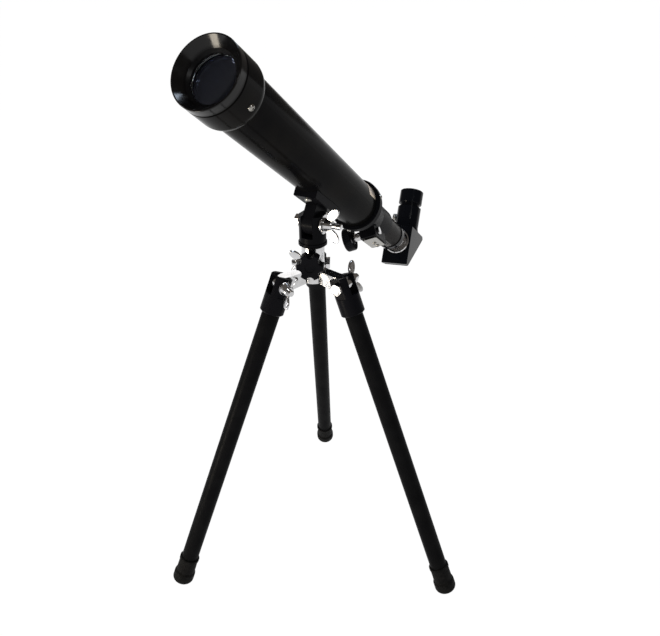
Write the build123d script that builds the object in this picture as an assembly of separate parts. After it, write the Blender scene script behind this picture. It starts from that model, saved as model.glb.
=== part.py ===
from build123d import *
import os
from math import cos, hypot, pi, radians, sin, tan

# A small 40 mm refracting telescope on a folding table-top tripod, in millimetres, +Z up.
# The model is laid out about the tripod's centre column and the surface that it stands on,
# then moved as a whole so that the bottom centre of its bounding box is the origin.

# Tripod
LEG_TURNS = {"rear": 114.3, "left": 234.3, "right": 354.3}   # degrees about the column
LEG_SPLAY = 21.9            # degrees from upright, with the legs open
LEG_RADIUS = 9.5            # a 3/4 inch tube
LEG_WALL = 1.2
PIVOT_RADIUS = 36.5         # from the column to a leg's pivot bolt
PIVOT_HEIGHT = 356.1
ARM_WIDTH = 12.0
HUB_RADIUS = 13.0
HUB_LOW, HUB_HIGH = 353.5, 368.0
SLEEVE_RADIUS = 11.5
SLEEVE_TOP = 391.0
POST_RADIUS = 8.0
KNOB_HEIGHT = 377.5
KNOB_TURN = 291.0
CAP_RADIUS = 12.5
CAP_FLAT = 11.3
CAP_TOP, CAP_BOTTOM = 9.0, -31.0
FOOT_RADIUS = 12.0
FOOT_ROUND = 6.0
FOOT_LENGTH = 35.0

# Fasteners: quarter-inch bolts
BOLT_RADIUS = 3.175
HEX_FLATS = 11.1
HEX_HEIGHT = 4.2
RUN = 0.07                  # radial clearance of a shaft in its bore
GAP = 0.3                   # clearance between parts that swing past each other

# Head
HEAD_RADIUS = 13.5
HEAD_LOW, HEAD_HIGH = 393.0, 424.0
HEAD_FLAT = 12.3
ALTITUDE_HEIGHT = 415.1
SLOT_FLOOR = 402.0

# Telescope, measured along the tube from the point above the column, towards the sky
TUBE_HEIGHT = 471.12
ELEVATION = 34.155
TUBE_RADIUS = 25.0
TUBE_WALL = 1.2
TUBE_FRONT, TUBE_REAR = 165.0, -124.0
HOOD_FRONT, HOOD_REAR = 180.0, 142.0
HOOD_RADIUS = 28.6
HOOD_SCREW_AT, HOOD_SCREW_TURN = 154.5, -24.0
LENS_RADIUS = 20.0
LENS_CURVE = 143.6          # radius of the objective's curved faces
CROWN_BACK, CROWN_FRONT = 162.6, 169.4
FLINT_BACK, FLINT_FRONT = 158.0, 162.0
CLEAR_RADIUS = 19.1
SADDLE_FRONT, SADDLE_REAR = -2.0, -62.0
SADDLE_WIDTH = 24.0
SADDLE_DEPTH = 30.0
FLANGE_RADIUS = 29.2
FLANGE_FRONT, FLANGE_REAR = -120.5, -129.0
FLANGE_SCREW_AT, FLANGE_SCREW_TURN = -124.75, 28.0
PLATE_FRONT, PLATE_REAR = -97.0, -117.0    # the blank specification plate
PLATE_FROM, PLATE_TO = 17.0, 96.0
SADDLE_SCREWS = (-11.0, -53.0)
COLLAR_RADIUS = 19.4
COLLAR_REAR = -200.0

# Focuser
FOCUS_TURN = 26.0           # the whole focuser is turned about the tube
DRAW_RADIUS = 17.2
DRAW_WALL = 1.4
DRAW_FRONT, DRAW_REAR = -118.0, -248.0
END_RADIUS = 18.2
END_REAR = -258.0
MODULE = 0.8
PINION_TEETH = 10
PINION_AT = -160.0
RACK_PITCH_LINE = 19.6
KNOB_NEAR, KNOB_FAR = 21.0, 31.0
KNOB_RADIUS = 14.0
BLOCK_HALF = 9.5
BLOCK_FRONT, BLOCK_REAR = -147.0, -190.0
BLOCK_BELOW = 31.5
COVER_SCREWS = (-171.0, -182.0)
TENSION_TURN = 62.0
TENSION_AT = -194.0
END_SCREW_TURN = 118.0
END_SCREW_AT = (END_REAR + DRAW_REAR) / 2

# Star diagonal and eyepiece, 0.965 inch fittings
DIAGONAL_TURN = 5.5
DIAGONAL_AT = -318.0
BARREL_RADIUS = 12.2
BARREL_BORE = 12.3
BOX_HALF = 18.0
BOX_FACE = 30.0
BOX_TOP = 22.0
COVER_THICK = 2.0
HOLDER_RADIUS = 16.0
HOLDER_TOP = 56.0
HOLDER_LOCK = 41.0
CAP_OUTER = 16.0
EYE_TOP = 80.0

PINION_PITCH_RADIUS = MODULE * PINION_TEETH / 2
PINION_BELOW = RACK_PITCH_LINE + PINION_PITCH_RADIUS
POINTING = Vector(0, -cos(radians(ELEVATION)), sin(radians(ELEVATION)))
TUBE = Location(Plane(origin=(0, 0, TUBE_HEIGHT), x_dir=(1, 0, 0), z_dir=POINTING))
FOCUSER = TUBE * Rot(0, 0, FOCUS_TURN)
DIAGONAL = TUBE * Rot(0, 0, DIAGONAL_TURN) * Pos(0, 0, DIAGONAL_AT)
EYEPIECE = DIAGONAL * Location(Plane(origin=(0, 0, 0), x_dir=(1, 0, 0), z_dir=(0, 1, 0)))
COLUMN = Location((0, 0, 0))
DROP = TUBE_HEIGHT - ALTITUDE_HEIGHT
TONGUE_AT = -DROP * sin(radians(ELEVATION))
TONGUE_BELOW = DROP * cos(radians(ELEVATION))

parts = {}


def rod(radius, low, high):
    """A cylinder about Z from one height to another."""
    return Pos(0, 0, (low + high) / 2) * Cylinder(radius, high - low)


def ring(outer, inner, low, high):
    return rod(outer, low, high) - rod(inner, low - 1, high + 1)


def block(x0, x1, y0, y1, z0, z1):
    centre = Pos((x0 + x1) / 2, (y0 + y1) / 2, (z0 + z1) / 2)
    return centre * Box(x1 - x0, y1 - y0, z1 - z0)


def lathe(*points):
    """A solid of revolution about Z from an outline of (radius, height) points."""
    outline = Plane.XZ * Polyline(*points, close=True)
    return revolve(make_face(outline), Axis.Z)


def arc_lathe(*edges):
    """A solid of revolution about Z from edges drawn in the XZ plane."""
    return revolve(make_face(Plane.XZ * Curve(children=list(edges))), Axis.Z)


def along_x(shape):
    """Turns a shape built along Z so that it lies along +X."""
    return Rot(0, 90, 0) * shape


def radial(turn, height, shape):
    """Turns a shape built along Z so that it points out from the Z axis."""
    return Pos(0, 0, height) * Rot(0, 0, turn) * Rot(0, 90, 0) * shape


def keep(name, frame, *shapes):
    """Files one named sub-part, placed by its frame, as one solid or a group of solids."""
    solids = [solid for shape in shapes for solid in (frame * shape).solids()]
    parts[name] = solids


def dome_screw(head, shank, length):
    """A round-head screw with a cross recess: head above z = 0, shank below."""
    dome = arc_lathe(
        Line((0, 0), (head, 0)),
        ThreePointArc((head, 0), (head * 0.72, head * 0.42), (0, head * 0.62)),
        Line((0, head * 0.62), (0, 0)),
    )
    recess = block(-head * 0.5, head * 0.5, -head * 0.11, head * 0.11, head * 0.3, head)
    dome = dome - recess - Rot(0, 0, 90) * recess
    return dome + rod(shank, -length, 0.1)


def hex_bolt(length):
    """A hexagon-head bolt: head below z = 0, shank up to its length."""
    head = extrude(RegularPolygon(HEX_FLATS / 2, 6, major_radius=False), HEX_HEIGHT)
    crown = lathe((0, 0), (6.0, 0), (6.55, 0.6), (6.55, HEX_HEIGHT), (0, HEX_HEIGHT))
    head = Pos(0, 0, -HEX_HEIGHT) * (head & crown)
    return head + rod(BOLT_RADIUS, -0.1, length - 0.8) + Pos(0, 0, length - 0.4) * Cone(
        BOLT_RADIUS, BOLT_RADIUS - 0.8, 0.8)


def wing_nut():
    """A wing nut on the +Z side of z = 0, with two raised ears."""
    bore = BOLT_RADIUS + RUN
    hub = lathe((bore, 0), (6.6, 0), (6.6, 1.2), (5.2, 7.4), (4.6, 8.2), (bore, 8.2))
    ear = Pos(10.6, 0, 8.6) * Rot(0, -42, 0) * extrude(
        Plane.XZ * Ellipse(8.2, 4.7), 1.35, both=True)
    ears = ear + Rot(0, 0, 180) * ear
    ears = fillet(ears.edges().filter_by(GeomType.ELLIPSE), 0.9)
    return hub + (ears - rod(bore, -5, 30))


def lobed_knob(radius, thickness, lobes, scallop):
    """A star knob standing on z = 0, with rounded hollows between its lobes."""
    knob = rod(radius, 0, thickness)
    for index in range(lobes):
        hollow = Pos(radius * 1.06, 0, 0) * rod(scallop, -1, thickness + 1)
        knob = knob - Rot(0, 0, 360 / lobes * index) * hollow
    return fillet(knob.edges().filter_by(GeomType.CIRCLE), 1.0)


def toothed(teeth, outer, root, width):
    """A pinion about Z, centred on z = 0, with straight-sided teeth."""
    gear = rod(root, -width / 2, width / 2)
    base, tip = 0.62 * MODULE, 0.30 * MODULE
    outline = Polyline((root - 0.4, -base), (outer, -tip), (outer, tip), (root - 0.4, base), close=True)
    tooth = Pos(0, 0, -width / 2) * extrude(make_face(outline), width)
    for index in range(teeth):
        gear = gear + Rot(0, 0, 360 / teeth * index) * tooth
    return gear


def crown():
    """The hub casting: a bored boss, a sleeve for the post and three channel arms."""
    body = rod(HUB_RADIUS, HUB_LOW, HUB_HIGH)
    body = chamfer(body.edges().filter_by(GeomType.CIRCLE), 0.8)
    body = body + ring(SLEEVE_RADIUS, POST_RADIUS, HUB_HIGH - 1, SLEEVE_TOP)
    outline = make_face(Plane.XZ * Polyline(
        (8, HUB_LOW + 0.5), (30, HUB_LOW - 4.6), (30, HUB_HIGH - 3.4), (8, HUB_HIGH - 1.0), close=True))
    web = extrude(outline, ARM_WIDTH / 2, both=True)
    web = web + Pos(PIVOT_RADIUS, 0, PIVOT_HEIGHT) * Rot(90, 0, 0) * Cylinder(8.4, ARM_WIDTH)
    top = make_face(Plane.XZ * Polyline(
        (29, PIVOT_HEIGHT), (PIVOT_RADIUS + 1, PIVOT_HEIGHT), (PIVOT_RADIUS + 1, PIVOT_HEIGHT + 8.3),
        (29, HUB_HIGH - 3.3), close=True))
    web = web + extrude(top, ARM_WIDTH / 2, both=True)
    under = block(15.5, 26.5, -3.6, 3.6, HUB_LOW - 8, HUB_HIGH - 6.5)
    bore = Pos(PIVOT_RADIUS, 0, PIVOT_HEIGHT) * Rot(90, 0, 0) * Cylinder(BOLT_RADIUS + RUN, 30)
    for turn in LEG_TURNS.values():
        body = body + Rot(0, 0, turn) * (web - under - bore)
    boss = radial(KNOB_TURN, KNOB_HEIGHT, rod(5.0, SLEEVE_RADIUS - 2, 14.0))
    body = body + boss - radial(KNOB_TURN, KNOB_HEIGHT, rod(3.0 + RUN, 4, 20))
    return body - rod(POST_RADIUS + RUN, HUB_LOW - 1, SLEEVE_TOP + 1)


def centre_post():
    """The chromed post that turns in the sleeve; the lock knob's tip runs in its groove."""
    post = rod(POST_RADIUS, HUB_LOW + 0.5, HEAD_LOW + 7.0)
    return post - ring(POST_RADIUS + 1, POST_RADIUS - 0.9, KNOB_HEIGHT - 3.4, KNOB_HEIGHT + 3.4)


def lock_knob():
    knob = lobed_knob(13.6, 11.5, 6, 4.3)
    knob = knob + rod(6.0, -1.2, 0.1)
    knob = knob - Pos(0, 0, 11.5) * Cylinder(5.0, 1.2)
    return radial(KNOB_TURN, KNOB_HEIGHT, Pos(0, 0, 15.6) * knob - rod(3.0, 10, 24))


def lock_knob_stud():
    return radial(KNOB_TURN, KNOB_HEIGHT, rod(3.0, POST_RADIUS - 0.5, 24.0))


def head_yoke():
    """The clevis that carries the telescope: a turned body with a slot and a bolt bore."""
    body = rod(HEAD_RADIUS, HEAD_LOW, HEAD_HIGH) + rod(HEAD_RADIUS + 0.9, HEAD_LOW, HEAD_LOW + 3.0)
    swing = Pos(0, 0, ALTITUDE_HEIGHT) * along_x(rod(15.4, -20, 20))
    lower = block(-20, 20, -20, 20, HEAD_LOW - 1, ALTITUDE_HEIGHT)
    body = body & (swing + lower)
    for side in (-1, 1):
        x0, x1 = sorted((side * HEAD_FLAT, side * 20))
        body = body - block(x0, x1, -20, 20, ALTITUDE_HEIGHT - 10.5, HEAD_HIGH + 1)
    half = ARM_WIDTH / 2 + GAP
    body = body - block(-half, half, -20, 20, SLOT_FLOOR, HEAD_HIGH + 1)
    body = body - Pos(0, 0, ALTITUDE_HEIGHT) * along_x(rod(BOLT_RADIUS, -20, 20))
    return body - rod(POST_RADIUS, HEAD_LOW - 1, HEAD_LOW + 7.0)


def altitude(shape):
    return Pos(0, 0, ALTITUDE_HEIGHT) * along_x(shape)


def leg_frame(turn):
    """A leg's frame: origin at its pivot, +X along the bolt, +Z up along the leg."""
    out = Vector(cos(radians(turn)), sin(radians(turn)), 0)
    up = out * -sin(radians(LEG_SPLAY)) + Vector(0, 0, cos(radians(LEG_SPLAY)))
    across = Vector(-sin(radians(turn)), cos(radians(turn)), 0)
    pivot = out * PIVOT_RADIUS + Vector(0, 0, PIVOT_HEIGHT)
    return Location(Plane(origin=pivot, x_dir=across, z_dir=up))


# The foot's rounded inner edge is the lowest point of a splayed leg, so the leg is as long
# as puts that edge a little below the ground, where it is cut flat.
FLAT_DEPTH = 0.6
tilt = radians(LEG_SPLAY)
LEG_LENGTH = (PIVOT_HEIGHT + FLAT_DEPTH - FOOT_ROUND * (1 - cos(tilt))
              - (FOOT_RADIUS - FOOT_ROUND) * sin(tilt)) / cos(tilt)


def leg_cap():
    """The moulded clevis at the top of a leg, bored for the bolt and the tube."""
    cap = rod(CAP_RADIUS, CAP_BOTTOM, CAP_TOP)
    cap = chamfer(cap.edges().filter_by(GeomType.CIRCLE), 0.8)
    for side in (-1, 1):
        x0, x1 = sorted((side * CAP_FLAT, side * 20))
        cap = cap - block(x0, x1, -20, 20, -12.0, CAP_TOP + 1)
    half = ARM_WIDTH / 2 + GAP
    cap = cap - block(-half, half, -20, 20, -11.0, CAP_TOP + 1)
    cap = cap - along_x(rod(BOLT_RADIUS, -20, 20))
    return cap - rod(LEG_RADIUS, CAP_BOTTOM - 1, -15.0)


def leg_tube():
    return ring(LEG_RADIUS, LEG_RADIUS - LEG_WALL, -LEG_LENGTH + 9.0, -15.0)


def leg_foot():
    """A rubber foot with a top collar and a bulged base."""
    low = -LEG_LENGTH
    flat = FOOT_RADIUS - FOOT_ROUND
    knee = FOOT_ROUND * (1 - sin(pi / 4))
    return arc_lathe(
        Line((0, low), (flat, low)),
        ThreePointArc((flat, low), (FOOT_RADIUS - knee, low + knee), (FOOT_RADIUS, low + FOOT_ROUND)),
        Line((FOOT_RADIUS, low + FOOT_ROUND), (FOOT_RADIUS, low + 12.0)),
        ThreePointArc((FOOT_RADIUS, low + 12.0), (11.5, low + 14.4), (10.7, low + 15.6)),
        Line((10.7, low + 15.6), (10.5, low + 30.6)),
        Line((10.5, low + 30.6), (11.2, low + 31.4)),
        Line((11.2, low + 31.4), (11.2, low + FOOT_LENGTH - 0.8)),
        Line((11.2, low + FOOT_LENGTH - 0.8), (10.4, low + FOOT_LENGTH)),
        Line((10.4, low + FOOT_LENGTH), (LEG_RADIUS, low + FOOT_LENGTH)),
        Line((LEG_RADIUS, low + FOOT_LENGTH), (LEG_RADIUS, low + 9.0)),
        Line((LEG_RADIUS, low + 9.0), (0, low + 9.0)),
        Line((0, low + 9.0), (0, low)),
    )


def objective_hood():
    """The sun hood: a cap over the tube's front with a funnel mouth and a seam groove."""
    front, rear, out = HOOD_FRONT, HOOD_REAR, HOOD_RADIUS
    return arc_lathe(
        Line((TUBE_RADIUS, rear), (TUBE_RADIUS + 0.5, rear)),
        ThreePointArc((TUBE_RADIUS + 0.5, rear), (out - 1.0, rear + 2.8), (out + 0.4, rear + 8)),
        Line((out + 0.4, rear + 8), (out + 0.1, front - 9.6)),
        Line((out + 0.1, front - 9.6), (out - 0.7, front - 9.2)),
        Line((out - 0.7, front - 9.2), (out - 0.7, front - 8.4)),
        Line((out - 0.7, front - 8.4), (out, front - 8.0)),
        Line((out, front - 8.0), (out, front - 0.7)),
        ThreePointArc((out, front - 0.7), (out - 0.2, front - 0.2), (out - 0.7, front)),
        Line((out - 0.7, front), (out - 1.3, front)),
        Line((out - 1.3, front), (CLEAR_RADIUS + 2.2, front - 7.6)),
        Line((CLEAR_RADIUS + 2.2, front - 7.6), (CLEAR_RADIUS + 2.2, front - 9.0)),
        Line((CLEAR_RADIUS + 2.2, front - 9.0), (TUBE_RADIUS, front - 9.0)),
        Line((TUBE_RADIUS, front - 9.0), (TUBE_RADIUS, rear)),
    )


def lens_cell():
    """The sleeve inside the tube's front that seats the objective lenses."""
    outer = TUBE_RADIUS - TUBE_WALL
    return lathe((outer, 112), (outer, 171), (CLEAR_RADIUS + 2.2, 171), (CLEAR_RADIUS + 2.2, 168.2),
                 (LENS_RADIUS, 168.2), (LENS_RADIUS, FLINT_BACK), (18.4, FLINT_BACK), (18.4, 155.5),
                 (outer - 1.8, 152), (outer - 1.8, 112))


def lens_retaining_ring():
    outer = CLEAR_RADIUS + 2.2
    return lathe((CLEAR_RADIUS, 168.2), (outer, 168.2), (outer, 172.3), (CLEAR_RADIUS, 170.4))


def crown_lens():
    lens = rod(LENS_RADIUS, CROWN_BACK, CROWN_FRONT)
    lens = lens & Pos(0, 0, CROWN_FRONT - LENS_CURVE) * Sphere(LENS_CURVE)
    return lens & Pos(0, 0, CROWN_BACK + LENS_CURVE) * Sphere(LENS_CURVE)


def flint_lens():
    lens = rod(LENS_RADIUS, FLINT_BACK, FLINT_FRONT + 1.3)
    return lens - Pos(0, 0, FLINT_FRONT + LENS_CURVE) * Sphere(LENS_CURVE)


def lens_spacer():
    return ring(LENS_RADIUS, LENS_RADIUS - 0.6, 163.45, 163.85)


def on_tube_screws(radius, height, first, head, shank, length):
    screw = dome_screw(head, shank, length)
    return [radial(first + 120 * i, height, Pos(0, 0, radius) * screw) for i in range(3)]


def hood_screw_holes(body):
    """Drills the three holes that the hood's screws run through."""
    for index in range(3):
        body = body - radial(HOOD_SCREW_TURN + 120 * index, HOOD_SCREW_AT, rod(1.5, 20, 32))
    return body


def main_tube():
    tube = ring(TUBE_RADIUS, TUBE_RADIUS - TUBE_WALL, TUBE_REAR, TUBE_FRONT)
    tube = hood_screw_holes(tube)
    for at in SADDLE_SCREWS:
        tube = tube - Pos(0, 0, at) * Rot(90, 0, 0) * rod(2.0, 20, 30)
    return tube


def spec_plate():
    """A thin blank foil plate wrapped round the top of the tube at its rear."""
    plate = ring(TUBE_RADIUS + 0.25, TUBE_RADIUS, PLATE_REAR, PLATE_FRONT)
    middle = (PLATE_FROM + PLATE_TO) / 2
    corners = [(60 * cos(radians(turn)), 60 * sin(radians(turn))) for turn in (PLATE_FROM, middle, PLATE_TO)]
    return plate & extrude(make_face(Polyline((0, 0), *corners, close=True)), 400, both=True)


def saddle():
    """The cradle under the tube with the tongue that hangs in the head's slot."""
    half = SADDLE_WIDTH / 2
    body = block(-half, half, -SADDLE_DEPTH, -18, SADDLE_REAR, SADDLE_FRONT)
    body = fillet(body.edges().filter_by(Axis.Z).group_by(Axis.Y)[0], 1.2)
    body = body - rod(TUBE_RADIUS, SADDLE_REAR - 1, SADDLE_FRONT + 1)
    thin = ARM_WIDTH / 2
    tongue = block(-thin, thin, -TONGUE_BELOW, -SADDLE_DEPTH + 0.5, TONGUE_AT - 12, TONGUE_AT + 12)
    tongue = tongue + Pos(0, -TONGUE_BELOW, TONGUE_AT) * along_x(rod(12, -thin, thin))
    tongue = tongue - Pos(0, -TONGUE_BELOW, TONGUE_AT) * along_x(rod(BOLT_RADIUS + RUN, -20, 20))
    body = body + tongue
    for at in SADDLE_SCREWS:
        body = body - Pos(0, 0, at) * Rot(90, 0, 0) * rod(2.0, 20, 40)
    return body


def saddle_screws():
    screw = dome_screw(3.6, 2.0, 8.0)
    return [Pos(0, -SADDLE_DEPTH, at) * Rot(90, 0, 0) * screw for at in SADDLE_SCREWS]


def saddle_nuts():
    nut = extrude(RegularPolygon(3.5, 6, major_radius=False), 2.4) - rod(2.0, -1, 4)
    top = -TUBE_RADIUS + TUBE_WALL + 0.45
    return [Pos(0, top, at) * Rot(-90, 0, 0) * nut for at in SADDLE_SCREWS]


def tube_baffle(at, opening):
    outer = TUBE_RADIUS - TUBE_WALL
    return lathe((opening, at), (outer, at - 3), (outer, at + 3), (outer - 0.8, at + 3),
                 (outer - 0.8, at - 1.6), (opening, at + 0.8))


def pinion_place(shape):
    return Pos(0, -PINION_BELOW, PINION_AT) * along_x(shape)


def focuser_housing():
    """The casting on the tube's rear: flange, cone, collar and the pinion's block."""
    bore = DRAW_RADIUS + RUN
    body = lathe(
        (TUBE_RADIUS, FLANGE_FRONT), (FLANGE_RADIUS - 0.6, FLANGE_FRONT), (FLANGE_RADIUS, FLANGE_FRONT - 0.6),
        (FLANGE_RADIUS, FLANGE_REAR + 0.6), (FLANGE_RADIUS - 0.6, FLANGE_REAR), (26.6, FLANGE_REAR),
        (24.6, -134), (COLLAR_RADIUS, -166), (COLLAR_RADIUS, COLLAR_REAR + 0.7),
        (COLLAR_RADIUS - 0.7, COLLAR_REAR), (bore, COLLAR_REAR), (bore, -156), (21.0, -140),
        (21.0, -112), (TUBE_RADIUS - TUBE_WALL, -112), (TUBE_RADIUS - TUBE_WALL, TUBE_REAR),
        (TUBE_RADIUS, TUBE_REAR))
    lump = block(-BLOCK_HALF, BLOCK_HALF, -BLOCK_BELOW, -12, BLOCK_REAR, BLOCK_FRONT)
    lump = fillet(lump.edges().filter_by(Axis.Y), 1.5)
    body = body + (lump - rod(COLLAR_RADIUS - 0.5, BLOCK_REAR - 1, BLOCK_FRONT + 1))
    slot = block(-3.0, 3.0, -21.2, -15, COLLAR_REAR - 1, -138)
    pocket = block(-3.6, 3.6, -BLOCK_BELOW - 1, -15, PINION_AT - 5.6, PINION_AT + 5.6)
    body = body - slot - pocket - pinion_place(rod(2.5 + RUN, -20, 20))
    tapped = [Pos(0, -BLOCK_BELOW, at) * Rot(90, 0, 0) * rod(1.3, -8, 2) for at in COVER_SCREWS]
    for hole in tapped:
        body = body - hole
    body = body - radial(TENSION_TURN, TENSION_AT, rod(1.6, 10, 30))
    for index in range(3):
        turn = FLANGE_SCREW_TURN - FOCUS_TURN + 120 * index
        body = body - radial(turn, FLANGE_SCREW_AT, rod(1.3, 20, 40))
    return body


def pinion_cover():
    """The bright pressed plate that closes the pinion's pocket from below."""
    plate = block(-8, 8, -BLOCK_BELOW - 1.6, -BLOCK_BELOW, BLOCK_REAR + 3.5, BLOCK_FRONT - 5)
    plate = fillet(plate.edges().filter_by(Axis.Y), 2.5)
    for at in COVER_SCREWS:
        plate = plate - Pos(0, -BLOCK_BELOW, at) * Rot(90, 0, 0) * rod(1.3, -8, 4)
    return plate


def pinion_cover_screws():
    screw = dome_screw(2.7, 1.3, 6.5)
    return [Pos(0, -BLOCK_BELOW - 1.6, at) * Rot(90, 0, 0) * screw for at in COVER_SCREWS]


def tension_screw():
    screw = dome_screw(2.2, 1.6, 1.9)
    return radial(TENSION_TURN, TENSION_AT, Pos(0, 0, COLLAR_RADIUS + 0.3) * screw)


def pinion_bush():
    """The bright bearing on the knob's side of the block."""
    return pinion_place(ring(5.0, 2.5 + RUN, -19.6, -BLOCK_HALF))


def pinion_shaft():
    width = 6.4
    gear = toothed(PINION_TEETH, PINION_PITCH_RADIUS + 0.75 * MODULE,
                   PINION_PITCH_RADIUS - 1.2 * MODULE, width)
    shaft = rod(2.5, -KNOB_FAR + 1.5, BLOCK_HALF + 2.6) + rod(4.4, BLOCK_HALF + GAP, BLOCK_HALF + 2.6)
    return pinion_place(shaft + gear)


def focus_knob():
    """The knob: a moulded disc with a dished face and a ribbed rim."""
    knob = lathe((0, -KNOB_FAR), (9.5, -KNOB_FAR), (10.5, -KNOB_FAR + 0.9), (12.2, -KNOB_FAR),
                 (13.2, -KNOB_FAR), (KNOB_RADIUS, -KNOB_FAR + 1.0), (KNOB_RADIUS, -KNOB_NEAR - 1.0),
                 (13.2, -KNOB_NEAR), (7.0, -KNOB_NEAR), (6.2, -KNOB_NEAR + 0.9), (0, -KNOB_NEAR + 0.9))
    ribs = 36
    for index in range(ribs):
        nick = Pos(KNOB_RADIUS + 0.25, 0, 0) * rod(0.6, -KNOB_FAR + 1.6, -KNOB_NEAR - 1.6)
        knob = knob - Rot(0, 0, 360 / ribs * index) * nick
    return pinion_place(knob - rod(2.5, -KNOB_FAR + 1.5, 0))


RACK_FRONT, RACK_REAR = -126.0, -238.0
RACK_HALF = 2.6
RACK_SEAT = 16.4


def draw_tube():
    tube = ring(DRAW_RADIUS, DRAW_RADIUS - DRAW_WALL, DRAW_REAR, DRAW_FRONT)
    return tube - block(-RACK_HALF, RACK_HALF, -20, -RACK_SEAT, RACK_REAR, RACK_FRONT)


def draw_tube_end():
    """The turned ring in the draw tube's rear that takes a 0.965 inch barrel."""
    inner = DRAW_RADIUS - DRAW_WALL
    body = lathe((BARREL_BORE, END_REAR), (END_RADIUS - 0.8, END_REAR), (END_RADIUS, END_REAR + 0.8),
                 (END_RADIUS, DRAW_REAR - 0.4), (END_RADIUS - 0.4, DRAW_REAR), (inner, DRAW_REAR),
                 (inner, DRAW_REAR + 12), (BARREL_BORE, DRAW_REAR + 12))
    return body - radial(END_SCREW_TURN, END_SCREW_AT, rod(1.5 + RUN, 8, 30))


def focus_rack():
    """A toothed bar let into the underside of the draw tube."""
    pitch = pi * MODULE
    root = RACK_PITCH_LINE - 1.2 * MODULE
    body = block(-RACK_HALF, RACK_HALF, -root, -RACK_SEAT, RACK_REAR, RACK_FRONT)
    base, tip = 0.62 * MODULE, 0.32 * MODULE
    high = RACK_PITCH_LINE + 0.75 * MODULE
    outline = make_face(Plane.YZ * Polyline((-root + 0.2, -base), (-high, -tip), (-high, tip),
                                            (-root + 0.2, base), close=True))
    tooth = extrude(outline, RACK_HALF, both=True)
    first = int((RACK_REAR - PINION_AT) / pitch) + 1
    last = int((RACK_FRONT - PINION_AT) / pitch) - 1
    teeth = [Pos(0, 0, PINION_AT + pitch * index) * tooth for index in range(first, last + 1)]
    return body.fuse(*teeth)


def thumb_screw(radius, thickness, stem):
    """A knurled thumb screw: head above z = 0, stem below."""
    head = rod(radius, 0.8, thickness) + rod(radius * 0.6, 0, 0.9)
    notches = 24
    for index in range(notches):
        nick = Pos(radius + 0.15, 0, 0) * rod(0.45, 0.7, thickness + 0.1)
        head = head - Rot(0, 0, 360 / notches * index) * nick
    return head + rod(1.5, -stem, 0.1)


def diagonal_lock_screw():
    stem = END_RADIUS + GAP - BARREL_RADIUS - GAP
    return radial(END_SCREW_TURN, END_SCREW_AT, Pos(0, 0, END_RADIUS + GAP) * thumb_screw(4.6, 4.6, stem))


def diagonal_barrel():
    """The chromed barrel with its shoulder ring, screwed to the box's face."""
    rear = BOX_FACE
    return lathe((10.6, rear), (16.6, rear), (16.6, rear + 3.6), (15.6, rear + 4.6),
                 (BARREL_RADIUS, rear + 4.6),
                 (BARREL_RADIUS, rear + 51), (BARREL_RADIUS - 0.6, rear + 51.6), (10.6, rear + 51.6))


PRISM_HALF = 12.0


def diagonal_housing():
    """The prism box: a wedge moulding with the eyepiece holder standing on its top."""
    low, back, edge = -30.0, -27.0, 19.0
    outline = make_face(Plane.YZ * Polyline(
        (low, BOX_FACE), (BOX_TOP, BOX_FACE), (BOX_TOP, back + 3), (edge, back),
        (edge - 1.0, back), (low, BOX_FACE - 7), close=True))
    body = extrude(outline, BOX_HALF, both=True)
    body = fillet(body.edges().filter_by(Axis.X).group_by(Axis.Z)[-1], 0.8)
    holder = Rot(-90, 0, 0) * rod(HOLDER_RADIUS, 0, HOLDER_TOP)
    front = block(-8.5, 8.5, BOX_TOP - 3, 36.5, 5, HOLDER_RADIUS + 1.2)
    body = body + holder + fillet(front.edges().filter_by(Axis.Z), 1.2)
    skirt = Rot(-90, 0, 0) * Pos(0, 0, BOX_TOP + 3.2) * Cone(17.4, HOLDER_RADIUS - 0.1, 6.6)
    body = body + skirt
    pocket_outline = make_face(Plane.YZ * Polyline(
        (-PRISM_HALF, PRISM_HALF), (PRISM_HALF, PRISM_HALF), (PRISM_HALF, -PRISM_HALF),
        (PRISM_HALF - 14, -PRISM_HALF - 14), (-PRISM_HALF - 14, PRISM_HALF - 14), close=True))
    body = body - extrude(pocket_outline, PRISM_HALF, both=True)
    body = body - rod(10.6, 0, BOX_FACE + 1)
    body = body - Rot(-90, 0, 0) * rod(10.6, 0, 30) - Rot(-90, 0, 0) * rod(BARREL_BORE, 29, 60)
    for place in cover_screw_places():
        body = body - place * rod(1.3, -8, 1)
    lock = Pos(0, HOLDER_LOCK, 0) * Rot(0, -90, 0) * rod(1.5 + RUN, 8, 20)
    return body - lock


SLOPE_Y, SLOPE_Z = (19.0 - 1.0 - 30.0) / 2, (-27.0 + 30.0 - 7) / 2


def slope_frame():
    """The middle of the box's sloping back, with +Z pointing out of it."""
    run, rise = (BOX_FACE - 7) - (-27.0), -30.0 - 18.0
    length = hypot(run, rise)
    return Location(Plane(origin=(0, SLOPE_Y, SLOPE_Z), x_dir=(1, 0, 0),
                          z_dir=(0, -run / length, rise / length)))


def cover_screw_places():
    return [slope_frame() * Pos(0, at, 0) for at in (-27.0, 27.0)]


def prism_cover():
    """The plate over the prism, on the sloping back of the box."""
    plate = slope_frame() * fillet(block(-17, 17, -33, 33, 0, COVER_THICK).edges().filter_by(Axis.Z), 2.0)
    for place in cover_screw_places():
        plate = plate - place * rod(1.3, -1, 9)
    return plate


def prism_cover_screws():
    screw = dome_screw(2.4, 1.3, 6.0)
    return [place * Pos(0, 0, COVER_THICK) * screw for place in cover_screw_places()]


def prism():
    outline = make_face(Plane.YZ * Polyline(
        (-PRISM_HALF, PRISM_HALF), (PRISM_HALF, PRISM_HALF), (PRISM_HALF, -PRISM_HALF), close=True))
    return extrude(outline, PRISM_HALF - 0.1, both=True)


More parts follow.
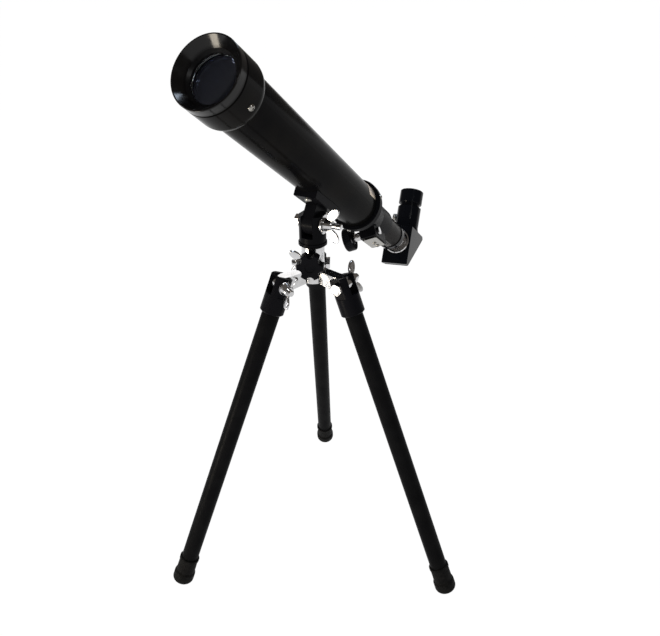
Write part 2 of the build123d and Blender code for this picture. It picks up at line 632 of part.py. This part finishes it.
def prism_spring():
    """A pressed spring strip that holds the prism down under the cover."""
    out = Location(Plane(origin=(0, 0, 0), x_dir=(1, 0, 0), z_dir=(0, -1, -1)))
    depth = -(SLOPE_Y + SLOPE_Z) / 2 ** 0.5
    strip = block(-4, 4, -9, 9, 0, 0.5) + block(-4, 4, -9.5, -9, 0, depth - 1.2)
    return out * (strip + block(-4, 4, 9, 9.5, 0, depth - 1.2))


def eyepiece_lock_screw():
    stem = HOLDER_RADIUS + GAP - BARREL_RADIUS - GAP
    screw = Pos(0, 0, HOLDER_RADIUS + GAP) * thumb_screw(5.4, 4.6, stem)
    return Pos(0, HOLDER_LOCK, 0) * Rot(0, -90, 0) * screw


def eyepiece_barrel():
    low = 30.5
    return lathe((11.2, low), (BARREL_RADIUS - 0.5, low), (BARREL_RADIUS, low + 0.5),
                 (BARREL_RADIUS, HOLDER_TOP + GAP), (BARREL_RADIUS, 66.0), (11.2, 66.0))


def eyepiece_body():
    """The moulded eyepiece top: a necked grip with a dished face for the eye."""
    base, neck = HOLDER_TOP + GAP, 61.0
    return lathe((BARREL_RADIUS, base), (14.0, base), (14.0, base + 1.2), (13.2, base + 1.6),
                 (13.2, neck), (CAP_OUTER - 0.3, neck + 0.3), (CAP_OUTER, neck + 0.8),
                 (CAP_OUTER, EYE_TOP - 1.0), (CAP_OUTER - 1.0, EYE_TOP), (12.4, EYE_TOP),
                 (6.2, EYE_TOP - 4.5), (6.2, 70.0), (9.2, 70.0), (9.2, 66.0), (BARREL_RADIUS, 66.0))


def eye_lens():
    return arc_lathe(
        Line((0, 70.2), (0, 74.6)),
        ThreePointArc((0, 74.6), (3, 74.3), (6.2, 73.4)),
        Line((6.2, 73.4), (6.2, 70.2)),
        Line((6.2, 70.2), (0, 70.2)),
    )


def field_lens():
    return arc_lathe(
        Line((0, 38.0), (0, 42.6)),
        ThreePointArc((0, 42.6), (5.6, 42.0), (11.2, 40.2)),
        Line((11.2, 40.2), (11.2, 38.0)),
        Line((11.2, 38.0), (0, 38.0)),
    )


def field_stop():
    return ring(11.2, 7.5, 55.0, 57.0)


keep("centre_post", COLUMN, centre_post())
keep("crown", COLUMN, crown())
keep("lock_knob", COLUMN, lock_knob())
keep("lock_knob_stud", COLUMN, lock_knob_stud())

ground = block(-400, 400, -400, 400, -50, 0)
for side, turn in LEG_TURNS.items():
    frame = leg_frame(turn)
    washer = ring(7.2, BOLT_RADIUS, CAP_FLAT, CAP_FLAT + 1.2)
    keep(side + "_leg_cap", frame, leg_cap())
    keep(side + "_leg_tube", frame, leg_tube())
    parts[side + "_leg_foot"] = (frame * leg_foot() - ground).solids()
    bolt = Pos(0, 0, -CAP_FLAT) * hex_bolt(CAP_FLAT + 26.0)
    keep(side + "_pivot_bolt_and_washer", frame, along_x(bolt), along_x(washer))
    keep(side + "_pivot_wing_nut", frame, along_x(Pos(0, 0, CAP_FLAT + 1.2 + GAP) * wing_nut()))

keep("head_yoke", COLUMN, head_yoke())
far_washer = ring(6.6, BOLT_RADIUS, -HEAD_FLAT - 1.4, -HEAD_FLAT)
near_washer = ring(9.6, BOLT_RADIUS, HEAD_FLAT, HEAD_FLAT + 1.4)
keep("altitude_washers", COLUMN, altitude(far_washer), altitude(near_washer))
keep("altitude_bolt", COLUMN, altitude(Pos(0, 0, -HEAD_FLAT - 1.4) * hex_bolt(HEAD_FLAT * 2 + 21.0)))
keep("altitude_wing_nut", COLUMN, altitude(Pos(0, 0, HEAD_FLAT + 1.4 + GAP) * wing_nut()))

keep("main_tube", TUBE, main_tube())
keep("objective_hood", TUBE, hood_screw_holes(objective_hood()))
keep("lens_cell", TUBE, hood_screw_holes(lens_cell()))
keep("lens_retaining_ring", TUBE, lens_retaining_ring())
keep("crown_lens", TUBE, crown_lens())
keep("flint_lens", TUBE, flint_lens())
keep("lens_spacer", TUBE, lens_spacer())
keep("hood_screws", TUBE, *on_tube_screws(HOOD_RADIUS + 0.42, HOOD_SCREW_AT, HOOD_SCREW_TURN, 2.8, 1.5, 6.4))
keep("tube_baffle", TUBE, tube_baffle(40.0, 15.0))
keep("spec_plate", TUBE, spec_plate())
keep("saddle", TUBE, saddle())
keep("saddle_screws", TUBE, *saddle_screws())
keep("saddle_nuts", TUBE, *saddle_nuts())

keep("focuser_housing", FOCUSER, focuser_housing())
keep("flange_screws", TUBE,
     *on_tube_screws(FLANGE_RADIUS, FLANGE_SCREW_AT, FLANGE_SCREW_TURN, 2.3, 1.3, 3.6))
keep("pinion_cover", FOCUSER, pinion_cover())
keep("pinion_cover_screws", FOCUSER, *pinion_cover_screws())
keep("pinion_bush", FOCUSER, pinion_bush())
keep("tension_screw", FOCUSER, tension_screw())
keep("pinion_shaft", FOCUSER, pinion_shaft())
keep("focus_knob", FOCUSER, focus_knob())
keep("draw_tube", FOCUSER, draw_tube())
keep("focus_rack", FOCUSER, focus_rack())
keep("draw_tube_end", FOCUSER, draw_tube_end())
keep("diagonal_lock_screw", FOCUSER, diagonal_lock_screw())

keep("diagonal_barrel", DIAGONAL, diagonal_barrel())
keep("diagonal_housing", DIAGONAL, diagonal_housing())
keep("prism", DIAGONAL, prism())
keep("prism_spring", DIAGONAL, prism_spring())
keep("prism_cover", DIAGONAL, prism_cover())
keep("prism_cover_screws", DIAGONAL, *prism_cover_screws())
keep("eyepiece_lock_screw", DIAGONAL, eyepiece_lock_screw())
keep("eyepiece_barrel", EYEPIECE, eyepiece_barrel())
keep("eyepiece_body", EYEPIECE, eyepiece_body())
keep("eye_lens", EYEPIECE, eye_lens())
keep("field_lens", EYEPIECE, field_lens())
keep("field_stop", EYEPIECE, field_stop())

# The bottom centre of the whole object's box becomes the origin. Its feet already stand at z = 0.
whole = Compound(children=[solid for solids in parts.values() for solid in solids]).bounding_box()
SHIFT = Vector(-(whole.min.X + whole.max.X) / 2, -(whole.min.Y + whole.max.Y) / 2, 0)


os.makedirs("parts", exist_ok=True)
for name, solids in parts.items():
    group = Compound(children=[Location(SHIFT) * solid for solid in solids])
    export_step(group, "parts/" + name + ".step")
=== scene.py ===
import math

import bpy
from mathutils import Matrix, Vector


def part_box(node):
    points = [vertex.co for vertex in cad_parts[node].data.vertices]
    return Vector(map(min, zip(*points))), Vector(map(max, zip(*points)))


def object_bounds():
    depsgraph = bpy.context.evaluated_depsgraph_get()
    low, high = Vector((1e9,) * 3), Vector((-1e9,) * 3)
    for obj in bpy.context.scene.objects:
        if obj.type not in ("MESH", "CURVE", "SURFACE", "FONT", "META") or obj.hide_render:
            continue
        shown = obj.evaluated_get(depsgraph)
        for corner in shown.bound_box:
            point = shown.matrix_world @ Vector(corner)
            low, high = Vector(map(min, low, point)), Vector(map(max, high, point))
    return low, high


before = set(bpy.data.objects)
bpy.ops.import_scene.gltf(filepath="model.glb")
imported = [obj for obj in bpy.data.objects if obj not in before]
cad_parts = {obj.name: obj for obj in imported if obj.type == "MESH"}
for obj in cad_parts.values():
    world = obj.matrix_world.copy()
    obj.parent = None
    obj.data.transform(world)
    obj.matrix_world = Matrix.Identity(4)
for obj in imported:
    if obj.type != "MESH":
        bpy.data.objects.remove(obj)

cad_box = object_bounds()
sides = ("rear", "left", "right")
post_low, post_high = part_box("centre_post")
stand = (post_low + post_high) / 2               # the tripod's column, which the tube crosses above
tube_height = 0.47112
tube_slope = math.radians(34.155)


# ---- Tube and hood -----------------------------------------------------------------------
# The 50 mm tube and the sun hood are steel, sprayed gloss black over a thin primer.
# The finish has a faint orange-peel ripple and a little haze, and is glossier on the hood in
# front of its seam.

def surface(name, colour, roughness, metallic=0.0, specular=0.5):
    """A new Principled material, its shader and its node tree."""
    material = bpy.data.materials.new(name)
    material.use_nodes = True
    shader = material.node_tree.nodes["Principled BSDF"]
    shader.inputs["Base Color"].default_value = (*colour, 1.0)
    shader.inputs["Roughness"].default_value = roughness
    shader.inputs["Metallic"].default_value = metallic
    shader.inputs["Specular IOR Level"].default_value = specular
    return material, shader, material.node_tree


def noise(tree, scale, detail=4.0, stretch=(1.0, 1.0, 1.0)):
    """Noise fixed to the object, its cells stretched along an axis where stretch is small."""
    place = tree.nodes.new("ShaderNodeTexCoord")
    mapping = tree.nodes.new("ShaderNodeMapping")
    mapping.inputs["Scale"].default_value = stretch
    pattern = tree.nodes.new("ShaderNodeTexNoise")
    pattern.inputs["Scale"].default_value = scale
    pattern.inputs["Detail"].default_value = detail
    tree.links.new(place.outputs["Object"], mapping.inputs["Vector"])
    tree.links.new(mapping.outputs["Vector"], pattern.inputs["Vector"])
    return pattern.outputs["Fac"]


def spread(tree, value, low, high, start=0.3, stop=0.7):
    """Maps a pattern's usual range to a chosen one."""
    ramp = tree.nodes.new("ShaderNodeMapRange")
    ramp.inputs["From Min"].default_value = start
    ramp.inputs["From Max"].default_value = stop
    ramp.inputs["To Min"].default_value = low
    ramp.inputs["To Max"].default_value = high
    tree.links.new(value, ramp.inputs["Value"])
    return ramp.outputs["Result"]


def tint(tree, value, shader, dark, light):
    """Varies the base colour between two near colours."""
    mix = tree.nodes.new("ShaderNodeMix")
    mix.data_type = "RGBA"
    mix.inputs["A"].default_value = (*dark, 1.0)
    mix.inputs["B"].default_value = (*light, 1.0)
    tree.links.new(value, mix.inputs["Factor"])
    tree.links.new(mix.outputs["Result"], shader.inputs["Base Color"])


def ripple(tree, shader, height, depth, strength=0.4):
    """Bumps the surface by a pattern, depth in metres."""
    bump = tree.nodes.new("ShaderNodeBump")
    bump.inputs["Strength"].default_value = strength
    bump.inputs["Distance"].default_value = depth
    tree.links.new(height, bump.inputs["Height"])
    tree.links.new(bump.outputs["Normal"], shader.inputs["Normal"])


def finish(material, *names):
    """Puts a material on CAD nodes."""
    for name in names:
        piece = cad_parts[name]
        piece.data.materials.clear()
        piece.data.materials.append(material)


tube_paint, shader, tree = surface("tube_paint", (0.004, 0.004, 0.0045), 0.16, specular=0.012)
haze = noise(tree, 35.0)
tint(tree, spread(tree, haze, 0.0, 1.0), shader, (0.003, 0.003, 0.0035), (0.006, 0.0055, 0.005))
tree.links.new(spread(tree, noise(tree, 260.0), 0.13, 0.20), shader.inputs["Roughness"])
ripple(tree, shader, noise(tree, 420.0, 2.0), 0.000008)
finish(tube_paint, "main_tube")

hood_paint, shader, tree = surface("hood_paint", (0.004, 0.004, 0.0045), 0.14, specular=0.04)
tint(tree, spread(tree, noise(tree, 35.0), 0.0, 1.0), shader, (0.003, 0.003, 0.0035), (0.006, 0.0055, 0.005))
tree.links.new(spread(tree, noise(tree, 260.0), 0.11, 0.2), shader.inputs["Roughness"])
ripple(tree, shader, noise(tree, 420.0, 2.0), 0.000008)
pointing = Vector((0.0, -math.cos(tube_slope), math.sin(tube_slope)))
hood_seam, polish_ramp = 0.1715, 0.003
place = tree.nodes.new("ShaderNodeTexCoord")
along = tree.nodes.new("ShaderNodeVectorMath")
along.operation = "DOT_PRODUCT"
along.inputs[1].default_value = pointing
tree.links.new(place.outputs["Object"], along.inputs[0])
seam = Vector((stand.x, stand.y, tube_height)).dot(pointing) + hood_seam
polish = spread(tree, along.outputs["Value"], 0.03, 0.22, seam, seam + polish_ramp)
tree.links.new(polish, shader.inputs["Specular IOR Level"])
finish(hood_paint, "objective_hood")


# ---- Objective ---------------------------------------------------------------------------
# A 40 mm achromat in a black cell: two glass elements with a foil ring between them, held
# by a threaded ring. The glass reflects faintly blue.

cell_black, shader, tree = surface("cell_black", (0.006, 0.006, 0.006), 0.45, specular=0.02)
tree.links.new(spread(tree, noise(tree, 500.0), 0.42, 0.6), shader.inputs["Roughness"])
ripple(tree, shader, noise(tree, 2500.0, 2.0), 0.00002)
finish(cell_black, "lens_cell", "tube_baffle", "field_stop")

ring_black, shader, tree = surface("ring_black", (0.006, 0.006, 0.0065), 0.25, specular=0.05)
tree.links.new(spread(tree, noise(tree, 300.0), 0.2, 0.36), shader.inputs["Roughness"])
finish(ring_black, "lens_retaining_ring")

coated_glass, shader, tree = surface("coated_glass", (0.9, 0.93, 0.95), 0.03)
shader.inputs["Transmission Weight"].default_value = 1.0
shader.inputs["IOR"].default_value = 1.52
shader.inputs["Specular Tint"].default_value = (0.35, 0.42, 0.7, 1.0)
tree.links.new(spread(tree, noise(tree, 120.0), 0.015, 0.05), shader.inputs["Roughness"])
finish(coated_glass, "crown_lens", "flint_lens", "prism", "eye_lens", "field_lens")

spacer_foil, shader, tree = surface("spacer_foil", (0.8, 0.8, 0.8), 0.3, 1.0)
tree.links.new(spread(tree, noise(tree, 700.0), 0.25, 0.4), shader.inputs["Roughness"])
finish(spacer_foil, "lens_spacer")


# ---- Blank specification plate -----------------------------------------------------------
# A thin foil label on top of the tube at its rear, champagne coloured, with a soft brushed
# grain and slight dents. It is left blank.

plate_foil, shader, tree = surface("plate_foil", (0.62, 0.5, 0.36), 0.34, 0.85)
grain = noise(tree, 900.0, 2.0, (0.05, 1.0, 1.0))
tint(tree, spread(tree, noise(tree, 140.0), 0.0, 1.0), shader, (0.34, 0.3, 0.3), (0.72, 0.6, 0.44))
tree.links.new(spread(tree, grain, 0.26, 0.48), shader.inputs["Roughness"])
ripple(tree, shader, noise(tree, 160.0, 2.0), 0.00006)
finish(plate_foil, "spec_plate")


# ---- Bright hardware ---------------------------------------------------------------------
# Bolts, nuts, washers, the post and the tripod's crown have bright chrome plate, with faint
# polishing marks and haze. Small screws are duller nickel, and the thumb screws are steel.

chrome, shader, tree = surface("chrome", (0.55, 0.55, 0.56), 0.09, 1.0)
tint(tree, spread(tree, noise(tree, 90.0), 0.0, 1.0), shader, (0.48, 0.475, 0.47), (0.62, 0.62, 0.635))
marks = noise(tree, 500.0, 4.0, (1.0, 1.0, 0.15))
tree.links.new(spread(tree, marks, 0.06, 0.2), shader.inputs["Roughness"])
ripple(tree, shader, noise(tree, 320.0, 3.0), 0.00001)
finish(chrome, "crown", "centre_post", "altitude_washers", "altitude_bolt", "altitude_wing_nut",
       "pinion_bush", "diagonal_barrel", "eyepiece_barrel", "pinion_shaft")
for side in sides:
    finish(chrome, side + "_pivot_bolt_and_washer", side + "_pivot_wing_nut")

nickel, shader, tree = surface("nickel", (0.28, 0.27, 0.25), 0.16, 1.0)
tree.links.new(spread(tree, noise(tree, 800.0), 0.12, 0.3), shader.inputs["Roughness"])
finish(nickel, "hood_screws", "saddle_screws", "saddle_nuts", "flange_screws", "pinion_cover",
       "pinion_cover_screws", "tension_screw", "prism_cover_screws", "lock_knob_stud", "prism_spring")

knurled_steel, shader, tree = surface("knurled_steel", (0.25, 0.25, 0.25), 0.34, 1.0)
tree.links.new(spread(tree, noise(tree, 900.0), 0.28, 0.5), shader.inputs["Roughness"])
finish(knurled_steel, "diagonal_lock_screw", "eyepiece_lock_screw", "focus_rack")


# ---- Black castings: saddle, head and focuser housing ------------------------------------
# Die castings enamelled satin black, with a fine pebble from the mould.

casting_black, shader, tree = surface("casting_black", (0.005, 0.005, 0.006), 0.3, specular=0.02)
tree.links.new(spread(tree, noise(tree, 450.0), 0.26, 0.38), shader.inputs["Roughness"])
ripple(tree, shader, noise(tree, 1100.0, 2.0), 0.00001)
finish(casting_black, "saddle", "head_yoke", "focuser_housing")


# ---- Draw tube ---------------------------------------------------------------------------
# A drawn tube with hard gloss enamel that has dulled in lines where it slides.

draw_enamel, shader, tree = surface("draw_enamel", (0.006, 0.005, 0.0045), 0.22, specular=0.02)
wear = noise(tree, 600.0, 3.0, (1.0, 0.12, 0.12))
tree.links.new(spread(tree, wear, 0.14, 0.34), shader.inputs["Roughness"])
finish(draw_enamel, "draw_tube")


# ---- Gloss mouldings: focus knob, prism box and eyepiece ---------------------------------
# Injection-moulded ABS, glossy and slightly blue-black, with soft flow marks.

gloss_moulding, shader, tree = surface("gloss_moulding", (0.003, 0.0035, 0.005), 0.12, specular=0.08)
tree.links.new(spread(tree, noise(tree, 180.0), 0.09, 0.15), shader.inputs["Roughness"])
ripple(tree, shader, noise(tree, 260.0, 2.0), 0.000008)
finish(gloss_moulding, "focus_knob", "diagonal_housing", "prism_cover", "eyepiece_body", "draw_tube_end")


# ---- Satin mouldings: leg caps and lock knob ---------------------------------------------
# Glass-filled nylon, satin black with a fine spark-eroded texture.

satin_moulding, shader, tree = surface("satin_moulding", (0.005, 0.005, 0.0065), 0.28, specular=0.03)
tree.links.new(spread(tree, noise(tree, 700.0), 0.24, 0.36), shader.inputs["Roughness"])
ripple(tree, shader, noise(tree, 2200.0, 2.0), 0.000008)
finish(satin_moulding, "lock_knob", *[side + "_leg_cap" for side in sides])


# ---- Leg tubes ---------------------------------------------------------------------------
# 19 mm steel tube with satin black stove enamel, lightly streaked along its length.

leg_enamel, shader, tree = surface("leg_enamel", (0.005, 0.005, 0.0055), 0.3, specular=0.012)
tint(tree, spread(tree, noise(tree, 60.0), 0.0, 1.0), shader, (0.004, 0.004, 0.0045), (0.007, 0.007, 0.0075))
streaks = noise(tree, 420.0, 3.0, (1.0, 1.0, 0.12))
tree.links.new(spread(tree, streaks, 0.27, 0.42), shader.inputs["Roughness"])
ripple(tree, shader, noise(tree, 900.0, 2.0), 0.000008)
finish(leg_enamel, *[side + "_leg_tube" for side in sides])


# ---- Feet --------------------------------------------------------------------------------
# Moulded rubber, soft black, with a dusty bloom.

foot_rubber, shader, tree = surface("foot_rubber", (0.007, 0.007, 0.007), 0.5, specular=0.03)
tint(tree, spread(tree, noise(tree, 220.0), 0.0, 1.0), shader, (0.005, 0.005, 0.005), (0.011, 0.0105, 0.010))
tree.links.new(spread(tree, noise(tree, 600.0), 0.45, 0.7), shader.inputs["Roughness"])
ripple(tree, shader, noise(tree, 1500.0, 2.0), 0.00002)
finish(foot_rubber, *[side + "_leg_foot" for side in sides])


# ---- Floor, lights and camera ------------------------------------------------------------
# A white floor that glows evenly, a dim warm sky and five soft lights, and the camera in
# front, above and to one side.

bpy.ops.object.select_all(action="DESELECT")
bpy.ops.mesh.primitive_plane_add(size=60.0, location=(0, 0, 0))
floor = bpy.context.object
floor.name = "floor"
floor_pale, shader, tree = surface("floor_pale", (0.03, 0.03, 0.03), 0.8, specular=0.0)
shader.inputs["Emission Color"].default_value = (1.0, 1.0, 1.0, 1.0)
shader.inputs["Emission Strength"].default_value = 1.0
floor.data.materials.append(floor_pale)

world = bpy.data.worlds.new("studio")
world.use_nodes = True
world.node_tree.nodes["Background"].inputs["Color"].default_value = (0.62, 0.56, 0.5, 1.0)
world.node_tree.nodes["Background"].inputs["Strength"].default_value = 0.22
bpy.context.scene.world = world
bpy.context.scene.view_settings.view_transform = "Standard"


def soft_light(name, place, target, size, watts, colour=(1.0, 1.0, 1.0)):
    data = bpy.data.lights.new(name, "AREA")
    data.shape = "SQUARE"
    data.size = size
    data.energy = watts
    data.color = colour
    lamp = bpy.data.objects.new(name, data)
    lamp.location = place
    lamp.rotation_euler = (Vector(target) - Vector(place)).to_track_quat("-Z", "Y").to_euler()
    bpy.context.scene.collection.objects.link(lamp)


middle = (cad_box[0] + cad_box[1]) / 2
soft_light("key_light", (1.5, -1.3, 1.9), middle, 0.6, 14.0)
soft_light("fill_light", (-1.6, -1.3, 0.9), middle, 0.4, 8.0)
soft_light("cool_light", (-0.1, 0.66, 1.8), middle, 0.6, 16.0, (0.72, 0.84, 1.0))
hood_middle = (-0.036, -0.227, 0.572)
soft_light("low_light", (-0.49, -0.81, 0.05), hood_middle, 0.3, 6.0, (1.0, 0.9, 0.74))
soft_light("back_light", (-1.32, 1.95, 1.35), middle, 1.0, 5.0)

camera_data = bpy.data.cameras.new("camera")
camera_data.sensor_width = 36.0
camera_data.lens = 34.77
camera = bpy.data.objects.new("camera", camera_data)
heading, dip, tilt = math.radians(117.077), math.radians(28.62), math.radians(0.274)
forward = Vector((math.cos(heading) * math.cos(dip), math.sin(heading) * math.cos(dip), -math.sin(dip)))
level = Vector((math.sin(heading), -math.cos(heading), 0.0))
down = forward.cross(level)
right = level * math.cos(tilt) + down * math.sin(tilt)
up = right.cross(forward)
turn = Matrix((right, up, -forward)).transposed()
eye = Vector((stand.x + 0.28594, stand.y - 0.52244, 0.63260))
camera.matrix_world = Matrix.Translation(eye) @ turn.to_4x4()
bpy.context.scene.collection.objects.link(camera)
bpy.context.scene.camera = camera
